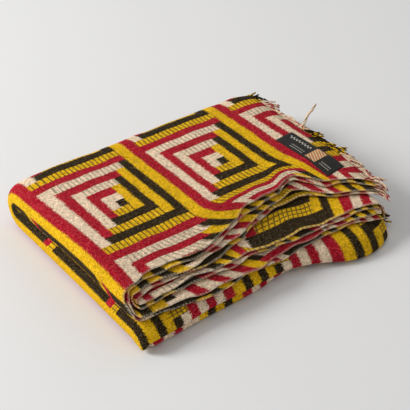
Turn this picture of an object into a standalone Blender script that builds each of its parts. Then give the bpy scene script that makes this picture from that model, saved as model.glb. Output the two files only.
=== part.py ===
"""A woven wool travel rug, folded in half across its width, twice along its length and once more
across its width, so that sixteen layers of one cloth lie on the floor.

The frame has X along the warp of the top layer, from the folded end (-X) to the fringed end (+X),
Y along the weft, from the open side (-Y) to the last fold (+Y), and Z up from the floor.
A point of the cloth is found in two steps. Across a fold of the length the cloth is followed in the
plane of x and h, where h is the distance from the crease between the upper and the lower bundle.
The last fold then turns h about its own axis, and the front edge of the bundles bends down.
"""
import math

import bmesh
import bpy
import numpy as np
from mathutils import Matrix, Vector
from mathutils.bvhtree import BVHTree

# Driving dimensions, in metres
CLOTH = 0.0036          # thickness of the cloth
PITCH = 0.005           # from one layer to the next, in the stack
FOLD_X = 0.010          # axis of the two loops at the folded end
MIDDLE_X = 0.405        # axis of the fold that lies half way along the rug
FIRST_END_X = 0.424     # where the rug's first end lies, on top
LAST_END_X = 0.419      # where its other end lies, under the first
BACK_Y = 0.017          # axis of the last fold
LABEL_LENGTH = 0.111
LABEL_WIDTH = 0.034
LABEL_THICK = 0.0008
LABEL_AT = (0.385, -0.161)
LABEL_TURN = math.radians(3.4)
LABEL_LIFT = 0.0008     # between the top layer and the label
LABEL_CELLS = (5, 16)   # how its width and its length are cut
EDGE_LAG = 0.0022       # half the step between the open edges of a pair's two layers
LEFT_DROP = 0.11        # how far the folded end sinks at its back corner, in parts of its height
RIGHT_DROP = 0.08       # how far the fringed end sinks
FRINGE_BAND = 0.003     # width of the knotted strip that the strands leave
FRINGE_GAP = 0.0004     # between the cloth's end and that strip, and between its stretches
STRAND_LONG = 0.024
STRAND_WIDE = 0.0042
STRAND_EVERY = 0.016
STRAND_DROP = 0.012     # how far a strand of the top layer hangs down at its full length
BAND_SPLIT = 0.0008     # between the strands of a pair's upper and lower layer

# Levels of the four double layers, from the crease, and the radii of the folds between them
LEVEL = {"a": 7 * PITCH, "d": 5 * PITCH, "c": 3 * PITCH, "b": PITCH}
BUNDLE = 8 * PITCH
LOOP_H = 4 * PITCH
LOOP_OUTER = 3 * PITCH
LOOP_INNER = PITCH
MIDDLE_H = 2 * PITCH
PLY = PITCH / 2
HALF = CLOTH / 2
FLOOR = BUNDLE - LEVEL["a"] - PLY - HALF

# How the front of the stack lies, at places along the warp, in millimetres.
# a, d, c and b are the y of the open edges of those double layers in the upper bundle,
# round is the y where the bundles start to bend down, press is the height left there in parts
# of the full height, and turn_b and turn_c are the degrees that layers b and c bend down by.
FRONT_COLUMNS = ("x", "a", "d", "c", "b", "round", "press", "turn_b", "turn_c")
FRONT_ROWS = (
    (-10, -254, -263, -271, -280, -273, 0.93, 52, 70),
    (45, -240, -251, -267, -281, -270, 0.88, 52, 72),
    (100, -243, -257, -268, -288, -266, 0.90, 50, 74),
    (150, -237, -249, -268, -286, -265, 0.87, 50, 74),
    (190, -225, -240, -263, -285, -263, 0.88, 52, 74),
    (230, -208, -224, -249, -281, -257, 0.85, 58, 72),
    (280, -202, -213, -259, -276, -265, 0.84, 66, 72),
    (333, -194, -214, -271, -282, -286, 0.83, 74, 72),
    (360, -224, -238, -277, -288, -288, 0.85, 77, 72),
    (385, -232, -250, -284, -294, -284, 0.88, 77, 72),
    (425, -260, -276, -292, -302, -264, 0.90, 74, 70),
)
FRONT = {name: np.array([row[i] for row in FRONT_ROWS], float)
         for i, name in enumerate(FRONT_COLUMNS)}
MM = 0.001
TURN_A = math.radians(12)
TURN_D = math.radians(46)

# Where the layers are cut into faces
RUN_X = (0.035, 0.070, 0.135, 0.195, 0.240, 0.285, 0.325, 0.370, 0.395)
UPPER_SHARES = (1.0, 0.96, 0.92, 0.87, 0.81, 0.74, 0.64, 0.45)
LOWER_SHARES = (0.45, 0.68, 0.79, 0.90)
OUTER_STEPS = 8
MIDDLE_STEPS = 4
INNER_STEPS = 4
BACK_STEPS = 6
ROUND_STEPS = 4
HAIRPIN_STEPS = 3


def front(name, x):
    """A column of the front's table at x in metres, on a smooth curve through its rows."""
    xs = FRONT["x"]
    ys = FRONT[name]
    at = min(max(x / MM, xs[0]), xs[-1])
    i = min(int(np.searchsorted(xs, at, side="right")) - 1, len(xs) - 2)
    slopes = np.gradient(ys, xs)
    span = xs[i + 1] - xs[i]
    t = (at - xs[i]) / span
    return ((2 * t ** 3 - 3 * t ** 2 + 1) * ys[i] + (t ** 3 - 2 * t ** 2 + t) * span * slopes[i]
            + (3 * t ** 2 - 2 * t ** 3) * ys[i + 1] + (t ** 3 - t ** 2) * span * slopes[i + 1])


def open_edge(x, level):
    """The y of the open edge of a double layer in the upper bundle."""
    names = ("b", "c", "d", "a")
    return MM * float(np.interp(level, [LEVEL[name] for name in names],
                                [front(name, x) for name in names]))


def fold_turn(x, level):
    """How far a double layer of the lower bundle bends down before it folds back."""
    low = math.radians(front("turn_b", x))
    third = math.radians(front("turn_c", x))
    if level <= LEVEL["c"]:
        share = (level - LEVEL["b"]) / (LEVEL["c"] - LEVEL["b"])
        return low + (third - low) * share
    if level <= LEVEL["d"]:
        share = (level - LEVEL["c"]) / (LEVEL["d"] - LEVEL["c"])
        return third + (TURN_D - third) * share
    share = (level - LEVEL["d"]) / (LEVEL["a"] - LEVEL["d"])
    return TURN_D + (TURN_A - TURN_D) * share


def ease(value):
    """From 0 to 1 along a smooth S."""
    value = min(max(value, 0.0), 1.0)
    return value * value * (3 - 2 * value)


def settle(x, y, z):
    """Sets a point on the floor, presses the stack down along its front and at its ends, and lets
    its top rise and fall a little."""
    near = ease((-0.175 - y) / 0.075)
    wave = 0.010 * math.sin(2 * math.pi * x / 0.21 + 9 * y) * math.cos(2 * math.pi * y / 0.33)
    left = min(max((0.060 - x) / 0.070, 0.0), 1.0) ** 2 * min(max((y + 0.117) / 0.134, 0.0), 1.0)
    right = min(max((x - 0.390) / 0.034, 0.0), 1.2) ** 2
    height = 1 + wave - (1 - front("press", x)) * near - LEFT_DROP * left - RIGHT_DROP * right
    return Vector((x, y, (max(z, FLOOR) - FLOOR) * height))


def run(start, end):
    """Places along a straight run from one x to another, both ends included."""
    inner = [x for x in RUN_X if min(start, end) < x < max(start, end)]
    return [start] + (inner if end > start else inner[::-1]) + [end]


def outer_loop(angle):
    """A place of the loop round the folded end, rounder above and squarer by the crease."""
    c, s = math.cos(angle), math.sin(angle)
    power = 2.3 if s > 0 else 3.2
    x, h = abs(c) ** (2 / power), math.copysign(abs(s) ** (2 / power), s)
    normal = Vector((-x ** (power - 1), math.copysign(abs(h) ** (power - 1), h))).normalized()
    return FOLD_X - LOOP_OUTER * x, LOOP_H + LOOP_OUTER * h, normal.x, normal.y


def warp_path():
    """The path of the double layer along the rug: place x, level h and the normal there."""
    path = []
    for x in run(FIRST_END_X, FOLD_X):
        path.append((x, LEVEL["a"], 0.0, 1.0))
    for step in range(1, OUTER_STEPS):
        path.append(outer_loop(math.pi / 2 + math.pi * step / OUTER_STEPS))
    for x in run(FOLD_X, MIDDLE_X):
        path.append((x, LEVEL["b"], 0.0, -1.0))
    for step in range(1, MIDDLE_STEPS):
        angle = -math.pi / 2 + math.pi * step / MIDDLE_STEPS
        c, s = math.cos(angle), math.sin(angle)
        path.append((MIDDLE_X + PITCH * c, MIDDLE_H + PITCH * s, c, s))
    for x in run(MIDDLE_X, FOLD_X):
        path.append((x, LEVEL["c"], 0.0, 1.0))
    for step in range(1, INNER_STEPS):
        angle = 3 * math.pi / 2 - math.pi * step / INNER_STEPS
        c, s = math.cos(angle), math.sin(angle)
        path.append((FOLD_X + LOOP_INNER * c, LOOP_H + LOOP_INNER * s, -c, -s))
    for x in run(FOLD_X, LAST_END_X):
        path.append((x, LEVEL["d"], 0.0, -1.0))
    return path


def place(here, off, part, amount, past=0.0):
    """A point of the stack. here is a place of the warp path and off its distance along the
    normal. part says where the weft is: upper, back, or lower, amount is the distance from the
    last fold's flat start or the angle round it, and past runs on beyond the front fold."""
    path_x, level, normal_x, normal_h = here
    x = path_x + off * normal_x
    h = level + off * normal_h
    if part == "back":
        return settle(x, BACK_Y + h * math.cos(amount), BUNDLE + h * math.sin(amount))
    side = 1 if part == "upper" else -1
    round_y = MM * front("round", x)
    straight = BACK_Y - round_y
    if amount <= straight and past == 0.0:
        return settle(x, BACK_Y - amount, BUNDLE + side * h)
    radius = BUNDLE + side * h
    turn = (amount - straight) / (BUNDLE + side * level)
    y = round_y - radius * math.sin(turn) - past * math.cos(turn)
    z = radius * math.cos(turn) - past * math.sin(turn)
    return settle(x, y, z)


def weft_stations(here, ply):
    """Where the weft of one layer is cut, from its open edge to the front fold below. ply is 1 on
    the side of the normal and -1 on the other."""
    path_x, level, _, normal_h = here
    reach = BACK_Y - open_edge(path_x, level) - EDGE_LAG * ply * normal_h
    stations = [("upper", reach * share) for share in UPPER_SHARES]
    for step in range(BACK_STEPS + 1):
        stations.append(("back", math.pi / 2 - math.pi * step / BACK_STEPS))
    straight = BACK_Y - MM * front("round", path_x)
    for share in LOWER_SHARES:
        stations.append(("lower", straight * share))
    bend = fold_turn(path_x, level) * (BUNDLE - level)
    for step in range(ROUND_STEPS + 1):
        stations.append(("lower", straight + bend * step / ROUND_STEPS))
    return stations


def section(here, depth, shift=0.0):
    """One cross section of the cloth, from the first selvage round the front fold to the other.
    depth is the distance from the middle of the cloth, and shift moves it along the warp."""
    here = (here[0] + shift, *here[1:])
    stations = weft_stations(here, 1)
    points = [place(here, PLY + depth, part, amount) for part, amount in stations]
    part, amount = stations[-1]
    radius = PLY + depth
    for step in range(1, HAIRPIN_STEPS):
        angle = math.pi * step / HAIRPIN_STEPS
        points.append(place(here, radius * math.cos(angle), part, amount, radius * math.sin(angle)))
    points += [place(here, -PLY - depth, part, amount)
               for part, amount in reversed(weft_stations(here, -1))]
    return points


def closed_body(name, inner, outer):
    """A closed body between two grids of points that run alike."""
    mesh = bmesh.new()
    grids = [[[mesh.verts.new(p) for p in row] for row in grid] for grid in (outer, inner)]
    rows, columns = len(outer), len(outer[0])
    top, under = grids
    for i in range(rows - 1):
        for j in range(columns - 1):
            mesh.faces.new((top[i][j], top[i + 1][j], top[i + 1][j + 1], top[i][j + 1]))
            mesh.faces.new((under[i][j], under[i][j + 1], under[i + 1][j + 1], under[i + 1][j]))
    rim = [(i, 0) for i in range(rows)] + [(rows - 1, j) for j in range(1, columns)]
    rim += [(i, columns - 1) for i in range(rows - 2, -1, -1)]
    rim += [(0, j) for j in range(columns - 2, 0, -1)]
    for (i, j), (k, m) in zip(rim, rim[1:] + rim[:1]):
        mesh.faces.new((top[i][j], under[i][j], under[k][m], top[k][m]))
    bmesh.ops.recalc_face_normals(mesh, faces=mesh.faces)
    return as_object(name, mesh)


def as_object(name, mesh):
    """Turns a bmesh into an object of the rug's collection, its faces pointing out."""
    if mesh.calc_volume(signed=True) < 0:
        bmesh.ops.reverse_faces(mesh, faces=mesh.faces)
    data = bpy.data.meshes.new(name)
    mesh.to_mesh(data)
    mesh.free()
    data.shade_smooth()
    data.set_sharp_from_angle(angle=math.radians(40))
    thing = bpy.data.objects.new(name, data)
    bpy.data.collections["travel_rug"].objects.link(thing)
    return thing


def material(thing, colour, roughness):
    """Gives an object a material of its own."""
    look = bpy.data.materials.new(thing.name + "_finish")
    look.use_nodes = True
    shader = look.node_tree.nodes["Principled BSDF"]
    shader.inputs["Base Color"].default_value = (*colour, 1.0)
    shader.inputs["Roughness"].default_value = roughness
    thing.data.materials.append(look)


def make_cloth():
    """The cloth, as one folded sheet of even thickness."""
    path = warp_path()
    inner = [section(here, -HALF) for here in path]
    outer = [section(here, HALF) for here in path]
    thing = closed_body("rug_cloth", inner, outer)
    material(thing, (0.43, 0.004, 0.021), 0.95)
    return thing


def fringe_stretches(end_x, level):
    """The four stretches that an end's fringe is sewn in, each a list of places of the weft."""
    reach = BACK_Y - open_edge(end_x, level) - EDGE_LAG
    gap = FRINGE_GAP / level
    quarter = math.pi / 2
    straight = BACK_Y - MM * front("round", end_x)
    bend = fold_turn(end_x, level) * (BUNDLE - level)
    upper = [("upper", reach * share) for share in UPPER_SHARES] + [("upper", FRINGE_GAP)]
    high = [("back", quarter - (quarter - gap) * step / 3) for step in range(4)]
    low = [("back", -gap - (quarter - gap) * step / 3) for step in range(4)]
    floor = [("lower", FRINGE_GAP)] + [("lower", straight * share) for share in LOWER_SHARES]
    floor += [("lower", straight + bend * step / ROUND_STEPS) for step in range(ROUND_STEPS + 1)]
    return {"top": upper, "back_high": high, "back_low": low, "floor": floor}


def make_fringe(name, end_x, level, normal_h, seed):
    """The fringe of one end of the rug: for each stretch a narrow strip across both layers of the
    pair, and the strands that leave it."""
    rng = np.random.default_rng(seed)
    for stretch, stations in fringe_stretches(end_x, level).items():
        make_stretch(name + "_" + stretch, stations, (end_x, level, 0.0, normal_h), rng)


def band_ring(here, part, amount):
    """The corners of the strip's section: two by the cloth, then four that the strands leave."""
    out, split = PLY + HALF, BAND_SPLIT / 2
    corners = ((FRINGE_GAP, -out), (FRINGE_GAP, out), (FRINGE_GAP + FRINGE_BAND, out),
               (FRINGE_GAP + FRINGE_BAND, split), (FRINGE_GAP + FRINGE_BAND, -split),
               (FRINGE_GAP + FRINGE_BAND, -out))
    return [place((here[0] + ahead, *here[1:]), off, part, amount) for ahead, off in corners]


def make_stretch(name, stations, here, rng):
    """One stretch of a fringe."""
    rings = [band_ring(here, part, amount) for part, amount in stations]
    mesh = bmesh.new()
    loops = [[mesh.verts.new(p) for p in rings[0]]]
    kinds = []
    turn = 0
    for start, stop in zip(rings, rings[1:]):
        length = ((stop[2] + stop[5]) / 2 - (start[2] + start[5]) / 2).length
        count = int(round(2 * length / STRAND_EVERY)) if length > 2 * STRAND_WIDE else 0
        cuts = []
        for strand in range(count):
            middle = (strand + 0.5) / count
            half = STRAND_WIDE / length / 2
            cuts += [(middle - half, 0), (middle + half, 2 if turn % 2 else 4)]
            turn += 1
        for share, kind in cuts + [(1.0, 0)]:
            loops.append([mesh.verts.new(a.lerp(b, share)) for a, b in zip(start, stop)])
            kinds.append(kind)
    for kind, one, two in zip(kinds, loops, loops[1:]):
        for k in range(6):
            m = (k + 1) % 6
            if kind and k == kind:
                add_strand(mesh, (one[k], one[m], two[m], two[k]), rng)
            else:
                mesh.faces.new((one[k], one[m], two[m], two[k]))
    mesh.faces.new(loops[0])
    mesh.faces.new(loops[-1][::-1])
    bmesh.ops.recalc_face_normals(mesh, faces=mesh.faces)
    thing = as_object(name, mesh)
    material(thing, (0.76, 0.66, 0.45), 0.95)


def add_strand(mesh, root, rng):
    """A strand of four sides that leaves the strip, hangs down and narrows to its tip."""
    across = (root[3].co - root[0].co)
    reach = STRAND_LONG * rng.uniform(0.75, 1.0)
    sway = across.normalized() * rng.uniform(-0.0015, 0.0015)
    height = sum((corner.co.z for corner in root), 0.0) / 4
    drop = STRAND_DROP * min(max((height - 0.014) / 0.035, 0.0), 1.0)
    ring = list(root)
    for share in (0.55, 1.0):
        ahead = reach * share
        fall = drop * (ahead / STRAND_LONG) ** 1.6
        step = Vector((ahead, 0.0, -fall)) + sway * share
        squeeze = across * 0.15 * share
        corners = [root[k].co + step + (squeeze if k < 2 else -squeeze) for k in range(4)]
        after = [mesh.verts.new(corner) for corner in corners]
        for k in range(4):
            m = (k + 1) % 4
            mesh.faces.new((ring[k], ring[m], after[m], after[k]))
        ring = after
    mesh.faces.new(ring)


def make_label(cloth):
    """The woven label, laid on the top layer near the fringed end."""
    cos, sin = math.cos(LABEL_TURN), math.sin(LABEL_TURN)
    ground = BVHTree.FromPolygons([v.co for v in cloth.data.vertices],
                                  [face.vertices for face in cloth.data.polygons])
    wide, long = LABEL_CELLS
    under = []
    for i in range(wide + 1):
        row = []
        for j in range(long + 1):
            p = (i / wide - 0.5) * LABEL_WIDTH
            q = (j / long - 0.5) * LABEL_LENGTH
            above = Vector((LABEL_AT[0] + p * cos - q * sin, LABEL_AT[1] + p * sin + q * cos, 1.0))
            ground_point = ground.ray_cast(above, Vector((0.0, 0.0, -1.0)))[0]
            row.append(ground_point + Vector((0.0, 0.0, LABEL_LIFT)))
        under.append(row)
    over = [[point + Vector((0.0, 0.0, LABEL_THICK)) for point in row] for row in under]
    thing = closed_body("label", under, over)
    material(thing, (0.012, 0.011, 0.010), 0.6)


def stand_on_origin(things):
    """Moves the meshes so that the origin is under the middle of their box."""
    points = np.array([v.co for thing in things for v in thing.data.vertices])
    low, high = points.min(axis=0), points.max(axis=0)
    shift = Vector((-(low[0] + high[0]) / 2, -(low[1] + high[1]) / 2, -low[2]))
    for thing in things:
        thing.data.transform(Matrix.Translation(shift))


def main():
    """Builds the folded rug, the fringes of its two ends and its label."""
    for thing in list(bpy.data.objects):
        bpy.data.objects.remove(thing, do_unlink=True)
    collection = bpy.data.collections.new("travel_rug")
    bpy.context.scene.collection.children.link(collection)
    cloth = make_cloth()
    make_fringe("fringe_first", FIRST_END_X, LEVEL["a"], 1.0, 11)
    make_fringe("fringe_last", LAST_END_X, LEVEL["d"], -1.0, 12)
    make_label(cloth)
    stand_on_origin(list(collection.objects))


main()
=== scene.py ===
"""Dresses the folded travel rug: its patterned wool cloth, fringes and label, on a studio floor."""

import math

import bpy
import numpy as np
from bpy.props import FloatProperty, FloatVectorProperty, IntProperty, PointerProperty
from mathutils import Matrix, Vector
from mathutils.bvhtree import BVHTree


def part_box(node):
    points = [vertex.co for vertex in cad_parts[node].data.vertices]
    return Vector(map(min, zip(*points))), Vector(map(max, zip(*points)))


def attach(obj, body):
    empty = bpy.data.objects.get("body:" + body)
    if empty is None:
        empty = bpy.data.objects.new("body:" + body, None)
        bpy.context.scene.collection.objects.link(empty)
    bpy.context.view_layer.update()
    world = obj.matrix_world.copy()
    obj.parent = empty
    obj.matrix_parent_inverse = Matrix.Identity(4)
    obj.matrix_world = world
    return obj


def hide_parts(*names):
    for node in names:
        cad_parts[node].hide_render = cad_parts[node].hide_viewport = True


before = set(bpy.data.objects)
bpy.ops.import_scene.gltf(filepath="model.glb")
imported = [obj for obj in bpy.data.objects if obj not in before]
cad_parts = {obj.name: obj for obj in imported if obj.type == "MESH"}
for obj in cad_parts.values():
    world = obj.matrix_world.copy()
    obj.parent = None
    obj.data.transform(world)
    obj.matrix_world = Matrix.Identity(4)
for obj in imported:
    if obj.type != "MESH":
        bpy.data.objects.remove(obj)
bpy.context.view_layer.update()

bl_info = {
    "name": "Folded Travel Rug",
    "version": (1, 0, 0),
    "blender": (4, 5, 0),
    "location": "3D View > Sidebar > Rug",
    "description": "Builds a folded wool rug with nested squares, fringes and a sewn label",
    "category": "Object",
}

MM = 0.001

# The fold, as the solids have it, in metres
PITCH = 0.005
SOLID_CLOTH = 0.0036
FOLD_X = 0.010
MIDDLE_X = 0.405
FIRST_END_X = 0.424
LAST_END_X = 0.419
BACK_Y = 0.017
EDGE_LAG = 0.0022
LEFT_DROP = 0.11
RIGHT_DROP = 0.08
LABEL_AT = (0.385, -0.161)
LABEL_TURN = math.radians(3.4)
LEVEL = {"a": 7 * PITCH, "d": 5 * PITCH, "c": 3 * PITCH, "b": PITCH}
RISING = ("b", "c", "d", "a")
LEVELS = np.array([LEVEL[name] for name in RISING])
BUNDLE = 8 * PITCH
LOOP_H = 4 * PITCH
LOOP_OUTER = 3 * PITCH
LOOP_INNER = PITCH
MIDDLE_H = 2 * PITCH
PLY = PITCH / 2
FLOOR = BUNDLE - LEVEL["a"] - PLY - SOLID_CLOTH / 2
TURN_A = math.radians(12)
TURN_D = math.radians(46)
LOOP_POWERS = (2.3, 3.2)    # how square the outer loop is above its middle, and below
SWELL, SWELL_X, SWELL_Y = 0.010, 0.21, 0.33   # the slow swell of the stack, and its two lengths
PRESSED_Y, PRESSED_OVER = -0.175, 0.075     # where the pressed front begins, and over how far
LEFT_X, LEFT_OVER = 0.060, 0.070            # the same for the drop of the folded end
LEFT_Y, LEFT_DEPTH = -0.117, 0.134
RIGHT_X, RIGHT_OVER = 0.390, 0.034          # and for the drop of the fringed end

# How the front of the stack lies at places x along the warp: the open edges of the double layers
# a to b, and where the stack begins to bend down, in millimetres; the share that is left of its
# height there; and how far two layers of the lower bundle bend, in degrees
FRONT_COLUMNS = ("x", "a", "d", "c", "b", "round", "press", "turn_b", "turn_c")
FRONT_ROWS = (
    (-10, -254, -263, -271, -280, -273, 0.93, 52, 70),
    (45, -240, -251, -267, -281, -270, 0.88, 52, 72),
    (100, -243, -257, -268, -288, -266, 0.90, 50, 74),
    (150, -237, -249, -268, -286, -265, 0.87, 50, 74),
    (190, -225, -240, -266, -285, -263, 0.88, 52, 74),
    (230, -208, -224, -270, -282, -257, 0.85, 58, 72),
    (280, -202, -213, -272, -281, -265, 0.84, 66, 72),
    (333, -194, -214, -275, -284, -286, 0.83, 74, 72),
    (360, -224, -238, -277, -288, -288, 0.85, 77, 72),
    (385, -232, -250, -284, -294, -284, 0.88, 77, 72),
    (425, -260, -276, -292, -302, -264, 0.90, 74, 70),
)
FRONT = {name: np.array([row[i] for row in FRONT_ROWS], float)
         for i, name in enumerate(FRONT_COLUMNS)}

# The pattern, in metres and in repeats
REPEAT_WARP = 0.175
REPEAT_WEFT = 0.188
OUTER_ROW = 0.097       # the width of the outermost ring along the warp
OUTER_COLUMN = 0.076    # and across it
RINGS = 5               # how many more rings a repeat has, all of one width
SELVAGE_AT = 1.39       # where the first selvage cuts the repeats across the rug
FRONT_FOLD_AT = -2.50   # where the front fold cuts them
OTHER_SELVAGE_AT = -5.61
LOOP_TRUE = 0.0165      # the radius that the pattern follows round the outer loop
INNER_SLIP = 0.016      # how far the inner loop has slipped along the rug
BARED_AT = 0.93         # where the open edge of the bared layer cuts the repeats
BARED_JOG = 0.33        # how much less that is beyond the label
BARED_SPREAD = 0.68     # how much of a repeat shows there in the width of a whole one
LOWER_AT = -5.955       # where the edge of the layer below it cuts them
WEAVE_TICK = 0.0071     # from one dark pick to the next
RIM_BEAD = 0.0028       # from one light stitch of the selvage to the next

# The selvages and what is pulled out of line, in metres
SWAY = 0.0016           # how far the selvages wave in and out
RIM_WIDTH = 0.011       # how far in from the selvage the cloth grows thin and curls
RIM_THIN = 0.34         # the share of its thickness that it loses there
RIM_RIPPLE = 0.0005
RIM_CURL = 0.0022
SELVAGE_PULL = 0.45     # the share of a selvage's offset from the repeats that it keeps
SELVAGE_PULL_OVER = 0.018
BARED_X, BARED_OVER = 0.14, 0.06    # where the bared layer begins, and over how far
JOG_X = 0.342
LOWER_START, LOWER_START_OVER = 0.13, 0.05
LOWER_END, LOWER_END_OVER = 0.335, 0.03
SAME_LEVEL = 1e-5
INSIDE = 1.0            # stands for the distance from the selvage where that is large
# Places along the warp, and how far the yarns are pulled there: by the selvages, over the front
# of a layer, and as a share of the slant of the bared layer
NEAR_DRAG = ((0.02, 0.06, 0.12, 0.20, 0.28, 0.34, 0.38, 0.405),
             (0.0, 0.006, 0.028, 0.046, 0.038, 0.016, 0.006, 0.0))
BROAD_DRAG = ((0.27, 0.33, 0.352, 0.372, 0.405), (0.0, 0.010, 0.019, 0.011, 0.004))
BARED_DRAG = ((0.19, 0.27), (0.3, 1.0))
STRAY_CORD = ((0.430, -0.092, 0.072), (0.470, -0.078, 0.0905))   # the one loose strand's ends
CREAM_YARN, RED_YARN, BLACK_YARN, YELLOW_YARN = 0.1, 0.35, 0.6, 0.85   # numbers for a colour ramp

# How finely the cloth is divided
TOP_ROWS = 0.005
INNER_ROWS = 0.0066
LOOP_STEPS = 20
HAIRPIN_STEPS = 8
UPPER_SHARES = np.concatenate([[0.0, 0.010, 0.022, 0.036, 0.052], np.linspace(0.075, 0.27, 9),
                               np.linspace(0.32, 1.0, 12)])
LOWER_SHARES = np.linspace(0.0, 1.0, 15)[1:]
BACK_ANGLES = np.linspace(math.pi / 2, -math.pi / 2, 17)[1:]
BEND_SHARES = np.linspace(0.0, 1.0, 10)[1:]
HAIRPIN_ANGLES = np.linspace(0.0, math.pi, HAIRPIN_STEPS)[1:-1]

# The camera, as it stands to the rug in the photo
CAMERA_TARGET = (0.1812, -0.1768, 0.080)
CAMERA_FAR = 1.5538
CAMERA_PITCH = 0.62662
CAMERA_YAW = 0.64084
CAMERA_LENS = 99.2

LOW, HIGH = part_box("rug_cloth")
SHIFT = Vector((LOW[0] - (FOLD_X - LOOP_OUTER - PLY - SOLID_CLOTH / 2),
                HIGH[1] - (BACK_Y + LEVEL["a"] + PLY + SOLID_CLOTH / 2), 0.0))


class RugClothSettings(bpy.types.PropertyGroup):
    """Sizes and yarn colours of the cloth."""
    thickness: FloatProperty(name="Thickness", description="Thickness of the brushed cloth",
                             default=0.0043, min=0.002, max=0.0047, unit="LENGTH")
    unrest: FloatProperty(name="Unrest", description="How far the surface rises and falls",
                          default=0.0006, min=0.0, max=0.002, unit="LENGTH")
    red: FloatVectorProperty(name="Red yarn", description="Colour of the red yarn",
                             subtype="COLOR", size=3, default=(0.375, 0.003, 0.018))
    cream: FloatVectorProperty(name="Cream yarn", description="Colour of the cream yarn",
                               subtype="COLOR", size=3, default=(0.79, 0.605, 0.42))
    yellow: FloatVectorProperty(name="Yellow yarn", description="Colour of the yellow yarn",
                                subtype="COLOR", size=3, default=(0.74, 0.425, 0.003))
    black: FloatVectorProperty(name="Black yarn", description="Colour of the charcoal yarn",
                               subtype="COLOR", size=3, default=(0.021, 0.0115, 0.003))


class RugFringeSettings(bpy.types.PropertyGroup):
    """Sizes of the fringe."""
    length: FloatProperty(name="Length", description="Length of a strand",
                          default=0.024, min=0.01, max=0.05, unit="LENGTH")
    every: FloatProperty(name="Spacing", description="From one strand to the next",
                         default=0.0031, min=0.002, max=0.02, unit="LENGTH")
    yarn: FloatProperty(name="Yarn", description="Thickness of one of a strand's two yarns",
                        default=0.0019, min=0.0005, max=0.003, unit="LENGTH")
    seed: IntProperty(name="Seed", description="Changes how the strands fall", default=7)


class RugLabelSettings(bpy.types.PropertyGroup):
    """Sizes and colours of the label."""
    length: FloatProperty(name="Length", description="Length of the label",
                          default=0.111, min=0.02, max=0.2, unit="LENGTH")
    width: FloatProperty(name="Width", description="Width of the label",
                         default=0.034, min=0.01, max=0.1, unit="LENGTH")
    thickness: FloatProperty(name="Thickness", description="Thickness of the ribbon",
                             default=0.0008, min=0.0003, max=0.002, unit="LENGTH")
    ground: FloatVectorProperty(name="Ground", description="Colour of the ribbon",
                                subtype="COLOR", size=3, default=(0.012, 0.011, 0.010))
    figure: FloatVectorProperty(name="Figure", description="Colour of the woven bands",
                                subtype="COLOR", size=3, default=(0.66, 0.55, 0.34))
    accent: FloatVectorProperty(name="Accent", description="Colour of the slanting stripes",
                                subtype="COLOR", size=3, default=(0.62, 0.17, 0.02))


class RugStageSettings(bpy.types.PropertyGroup):
    """The floor and the light."""
    floor: FloatVectorProperty(name="Floor", description="Colour of the floor and backdrop",
                               subtype="COLOR", size=3, default=(0.80, 0.795, 0.788))
    key: FloatProperty(name="Key light", description="Strength of the large soft light",
                       default=110.0, min=0.0, max=400.0, unit="POWER")
    sky: FloatProperty(name="Sky", description="Strength of the even light around",
                       default=0.46, min=0.0, max=5.0)


def hermite(name, x):
    """A column of the front's table at x in metres, on a smooth curve through its rows."""
    xs, ys = FRONT["x"], FRONT[name]
    at = np.clip(np.asarray(x, float) / MM, xs[0], xs[-1])
    i = np.clip(np.searchsorted(xs, at, side="right") - 1, 0, len(xs) - 2)
    slopes = np.gradient(ys, xs)
    span = xs[i + 1] - xs[i]
    t = (at - xs[i]) / span
    return ((2 * t ** 3 - 3 * t ** 2 + 1) * ys[i] + (t ** 3 - 2 * t ** 2 + t) * span * slopes[i]
            + (3 * t ** 2 - 2 * t ** 3) * ys[i + 1] + (t ** 3 - t ** 2) * span * slopes[i + 1])


def open_edge(x, level):
    """The y of the open edge of a double layer in the upper bundle."""
    values = np.array([hermite(name, x) for name in RISING])
    i = np.clip(np.searchsorted(LEVELS, level, side="right") - 1, 0, 2)
    share = np.clip((level - LEVELS[i]) / (LEVELS[i + 1] - LEVELS[i]), 0, 1)
    each = np.arange(values.shape[1])
    return MM * (values[i, each] + share * (values[i + 1, each] - values[i, each]))


def fold_turn(x, level):
    """How far a double layer of the lower bundle bends down before it folds back."""
    low, third = np.radians(hermite("turn_b", x)), np.radians(hermite("turn_c", x))
    share = np.interp(level, LEVELS, [0, 1, 2, 3])
    return np.select([share <= 1, share <= 2],
                     [low + (third - low) * share, third + (TURN_D - third) * (share - 1)],
                     TURN_D + (TURN_A - TURN_D) * (share - 2))


def unrest(x, y, amount):
    """Gentle rises and falls of the surface, as a share of the stack's height."""
    waves = ((0.3, 0.062), (1.4, 0.051), (2.3, 0.083), (0.9, 0.037), (1.9, 0.029), (2.8, 0.044))
    total = np.zeros_like(x)
    for i, (turn, length) in enumerate(waves):
        total += np.sin(2 * math.pi * (x * math.cos(turn) + y * math.sin(turn)) / length + 1.7 * i)
    return amount / (2 * BUNDLE) * total / 2.2


def ease(value):
    """From 0 to 1 along a smooth S."""
    value = np.clip(value, 0.0, 1.0)
    return value * value * (3 - 2 * value)


def settle(x, y, z, amount=0.0):
    """Sets points on the floor, presses the stack down along its front and at its ends, and lets
    its top rise and fall a little."""
    near = ease((PRESSED_Y - y) / PRESSED_OVER)
    wave = SWELL * np.sin(2 * math.pi * x / SWELL_X + 9 * y) * np.cos(2 * math.pi * y / SWELL_Y)
    left = (np.clip((LEFT_X - x) / LEFT_OVER, 0.0, 1.0) ** 2
            * np.clip((y - LEFT_Y) / LEFT_DEPTH, 0.0, 1.0))
    right = np.clip((x - RIGHT_X) / RIGHT_OVER, 0.0, 1.2) ** 2
    height = (1 + wave - (1 - hermite("press", x)) * near - LEFT_DROP * left - RIGHT_DROP * right
              + unrest(x, y, amount))
    return np.stack([x, y, (np.maximum(z, FLOOR) - FLOOR) * height], axis=-1)


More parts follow.
